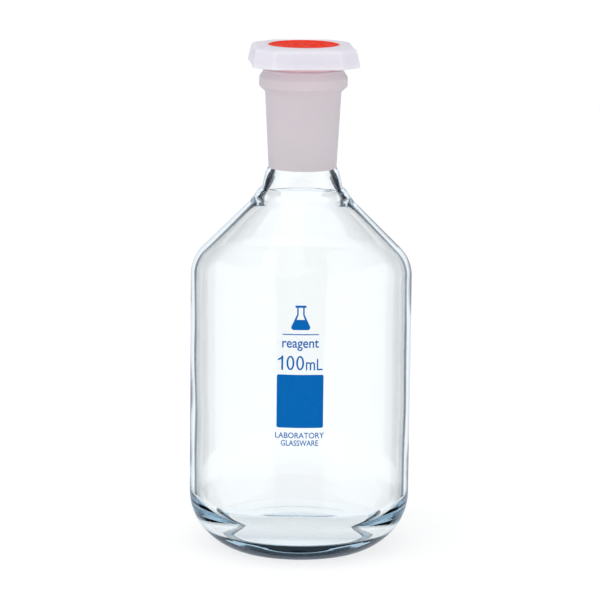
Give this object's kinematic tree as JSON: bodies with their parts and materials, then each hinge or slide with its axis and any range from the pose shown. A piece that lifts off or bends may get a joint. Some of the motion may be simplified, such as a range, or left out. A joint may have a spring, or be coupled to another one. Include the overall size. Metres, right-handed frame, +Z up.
{
  "type": "reagent bottle",
  "caption": "Narrow-mouth glass reagent bottle with a ground neck, sloping shoulders and a flat-headed hollow plastic stopper.",
  "frame": {"origin": "middle of the ring that the bottle stands on, at table level", "axes": "+Z up along the bottle's axis, -Y out of the printed front, +X to the right of the print"},
  "size_m": [0.052, 0.052, 0.1189],
  "materials": {
    "clear_glass": "clear polished borosilicate glass, frosted where the neck is ground inside",
    "stopper_plastic": "moulded natural polypropylene, translucent, satin",
    "red_plastic": "moulded opaque plastic, satin, with a raised rim",
    "blue_enamel": "fired blue enamel print, even and slightly glossy"
  },
  "bodies": {
    "bottle": {"glass_bottle": "clear_glass"},
    "stopper_set": {"stopper": "stopper_plastic", "stopper_disc": "red_plastic"}
  },
  "joints": [
    {"name": "stopper_lift", "type": "slide", "parent": "bottle", "child": "stopper_set", "axis": [0, 0, 1], "range_m": [0, 0.03]}
  ]
}
